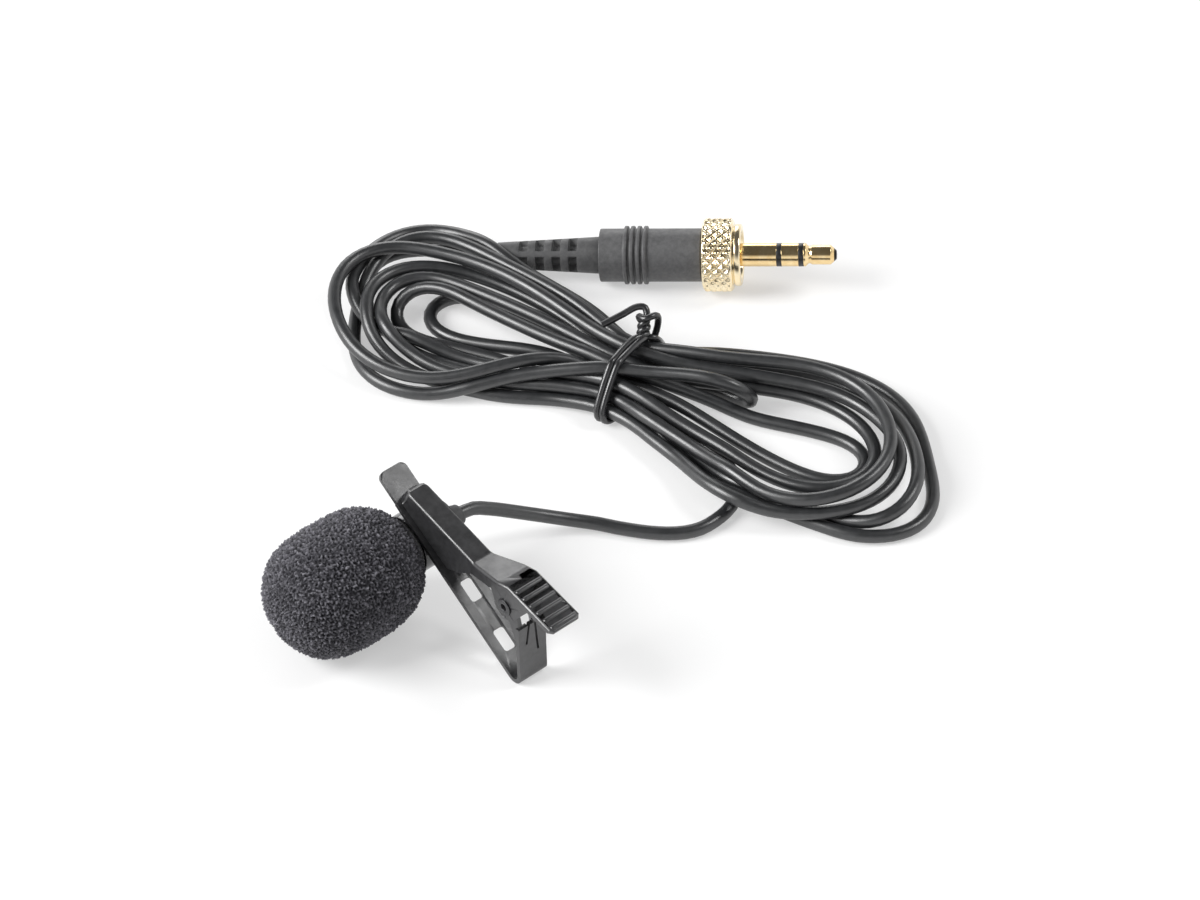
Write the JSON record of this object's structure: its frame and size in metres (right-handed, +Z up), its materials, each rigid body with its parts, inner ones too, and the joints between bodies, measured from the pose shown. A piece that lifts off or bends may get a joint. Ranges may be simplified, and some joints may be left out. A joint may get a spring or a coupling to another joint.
{
  "type": "lavalier microphone",
  "caption": "Small clip-on microphone with a foam windscreen, a sprung tie clip, a hanked cord and a 3.5 mm plug with a locking ring.",
  "frame": {"origin": "on the table, under the middle of the microphone and clip, without the cord and what is on it", "axes": "+X along the microphone from the windscreen to the cord, +Y away from the clip, +Z up"},
  "size_m": [0.1121, 0.0939, 0.0189],
  "materials": {
    "foam": "open-cell foam, matt",
    "black_metal": "satin black",
    "steel_mesh": "fine woven mesh",
    "soft_rubber": "matt",
    "capsule_metal": "satin",
    "gold_film": "thin metallised film",
    "brass_plate": "satin",
    "board": "green lacquer",
    "black_resin": "satin",
    "wire_cover": "gloss",
    "boot_rubber": "matt",
    "cord_cover": "satin",
    "clip_paint": "satin black",
    "ring_gloss": "gloss",
    "spring_steel": "drawn wire",
    "tie_cover": "satin",
    "wire_copper": "stranded",
    "barrel_black": "fine matt",
    "gold_knurl": "gold plated, knurled",
    "gold": "gold plated, polished"
  },
  "bodies": {
    "microphone": {"mic_housing": "black_metal", "grille_cap": "black_metal", "grille_mesh": "steel_mesh", "capsule_gasket": "soft_rubber", "capsule_can": "capsule_metal", "diaphragm": "gold_film", "backplate": "brass_plate", "circuit_board": "board", "transistor": "black_resin", "inner_wires": "wire_cover", "crimp_ring": "brass_plate", "rear_collar": "black_metal", "mic_strain_relief": "boot_rubber", "mic_cord_end": "cord_cover", "mic_cable": "cord_cover", "cable_hank": "cord_cover", "twist_tie": "tie_cover", "plug_cable": "cord_cover", "plug_boot": "boot_rubber", "plug_cord_end": "cord_cover", "plug_wires": "wire_copper", "plug_barrel": "barrel_black", "sleeve_contact": "gold", "ring_insulator": "black_resin", "ring_contact": "gold", "tip_insulator": "black_resin", "tip_contact": "gold"},
    "windscreen": {"windscreen": "foam"},
    "clip": {"clip_base": "clip_paint", "mic_ring": "ring_gloss", "ring_rivet": "clip_paint", "pivot_pin": "clip_paint", "torsion_spring": "spring_steel"},
    "lever": {"clip_lever": "clip_paint"},
    "lock": {"locking_ring": "gold_knurl"}
  },
  "joints": [
    {"name": "windscreen_slide", "type": "slide", "parent": "microphone", "child": "windscreen", "axis": [-1, 0, 0], "range_m": [0, 0.02]},
    {"name": "clip_turn", "type": "hinge", "parent": "microphone", "child": "clip", "pos_m": [0.00852, 0.01101, 0.0091], "axis": [1, 0, 0], "continuous": true},
    {"name": "lever_press", "type": "hinge", "parent": "clip", "child": "lever", "pos_m": [0.00852, -0.01091, 0.01395], "axis": [1, 0, 0], "range_deg": [0, 24], "stiffness_Nm_per_rad": 0.05, "springref_deg": -20.05, "deforming": ["torsion_spring"]},
    {"name": "lock_turn", "type": "hinge", "parent": "microphone", "child": "lock", "pos_m": [0.08333, 0.03101, 0.00566], "axis": [0.6927, -0.7173, 0.075], "continuous": true}
  ]
}
